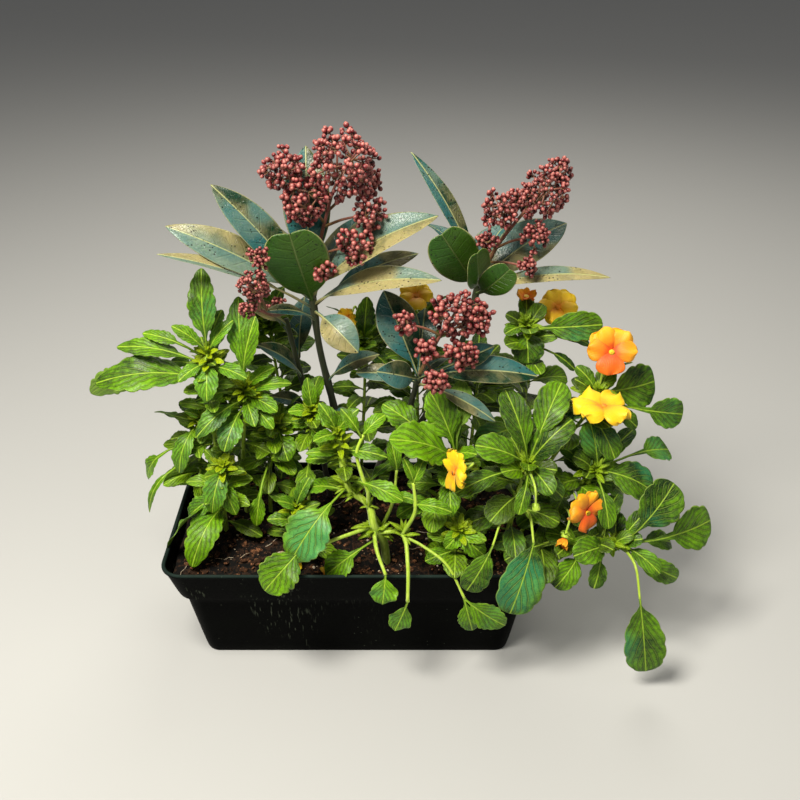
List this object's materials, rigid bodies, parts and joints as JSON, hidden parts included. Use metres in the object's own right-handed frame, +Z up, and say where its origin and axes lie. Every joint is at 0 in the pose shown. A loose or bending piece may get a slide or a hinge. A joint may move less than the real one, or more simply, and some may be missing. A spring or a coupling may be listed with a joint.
{
  "type": "potted pansy planter",
  "caption": "Rectangular plastic trough of pansies in yellow and orange bloom round a budded skimmia shrub, for a patio or step.",
  "frame": {"origin": "middle of the trough's flat base, on the ground", "axes": "+Z up, +X along the trough's length to the viewer's right, -Y towards the viewer"},
  "size_m": [0.589, 0.2393, 0.5025],
  "materials": {
    "planter": "semi-matt dark green-black plastic, scuffed",
    "soil": "crumbly dark compost",
    "pansy_leaf": "soft satin leaf",
    "skimmia_leaf": "glossy leathery leaf",
    "skimmia_bud": "satin bud",
    "petal_orange": "velvety petal",
    "petal_yellow": "velvety petal"
  },
  "bodies": {
    "root": {"planter": "planter", "soil": "soil", "skimmia_left": "skimmia_leaf", "skimmia_low": "skimmia_leaf", "skimmia_right": "skimmia_leaf", "skimmia_centre": "skimmia_leaf", "panicle_left": "skimmia_bud", "panicle_low": "skimmia_bud", "panicle_right": "skimmia_bud", "panicle_centre": "skimmia_bud", "pansy_left_1": "pansy_leaf", "pansy_left_2": "pansy_leaf", "pansy_left_3": "pansy_leaf", "pansy_left_4": "pansy_leaf", "pansy_left_5": "pansy_leaf", "pansy_left_6": "pansy_leaf", "pansy_centre_1": "pansy_leaf", "pansy_centre_2": "pansy_leaf", "pansy_centre_3": "pansy_leaf", "pansy_centre_4": "pansy_leaf", "pansy_right_1": "pansy_leaf", "pansy_right_2": "pansy_leaf", "pansy_right_3": "pansy_leaf", "pansy_right_4": "pansy_leaf", "pansy_right_5": "pansy_leaf", "pansy_back_1": "pansy_leaf", "pansy_back_2": "pansy_leaf", "pansy_back_3": "pansy_leaf", "pansy_back_4": "pansy_leaf", "pansy_back_5": "pansy_leaf", "bloom_orange_top": "petal_orange", "bloom_orange_low": "petal_orange", "bloom_orange_bud": "petal_orange", "bloom_amber_back": "petal_orange", "bloom_yellow_right": "petal_yellow", "bloom_yellow_centre": "petal_yellow", "bloom_yellow_back": "petal_yellow", "bloom_yellow_half": "petal_yellow", "bloom_yellow_behind": "petal_yellow"}
  },
  "joints": []
}
